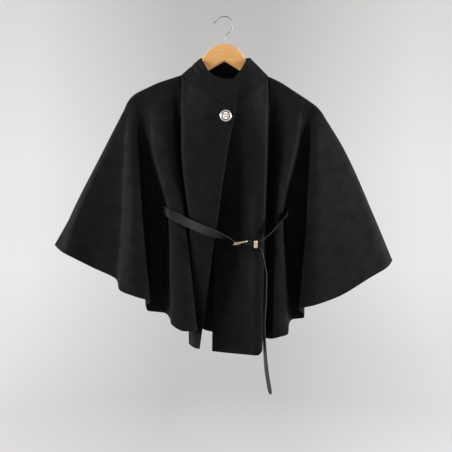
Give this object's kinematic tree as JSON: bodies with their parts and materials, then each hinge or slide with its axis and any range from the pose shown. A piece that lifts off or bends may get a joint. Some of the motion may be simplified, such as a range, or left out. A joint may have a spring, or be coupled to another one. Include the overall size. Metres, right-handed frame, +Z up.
{
  "type": "cape on hanger",
  "caption": "Wrap-front cape with a funnel collar, one round button and a thin buckled belt, hanging open at the hem on a wooden hanger.",
  "frame": {"origin": "underside of the top of the hanger's hook, where it hangs on a rail or a wall hook", "axes": "+Z up, the cape's front faces -Y, +X towards the wearer's left (the right of the front view)"},
  "size_m": [0.8476, 0.1598, 0.9241],
  "materials": {
    "cape_cloth": "matte black double-faced crepe",
    "strap_leather": "black, semi-gloss",
    "pale_gold": "polished pale gold",
    "button_silver": "polished silver",
    "hanger_wood": "varnished",
    "hook_steel": "bright wire"
  },
  "bodies": {
    "root": {"back": "cape_cloth", "belt": "strap_leather", "belt_keeper": "pale_gold", "buckle_frame": "pale_gold", "buckle_prong": "pale_gold", "button": "button_silver", "collar": "cape_cloth", "hanger_body": "hanger_wood", "hanger_hook": "hook_steel", "left_front": "cape_cloth", "left_side": "cape_cloth", "right_front": "cape_cloth", "right_side": "cape_cloth"}
  },
  "joints": []
}
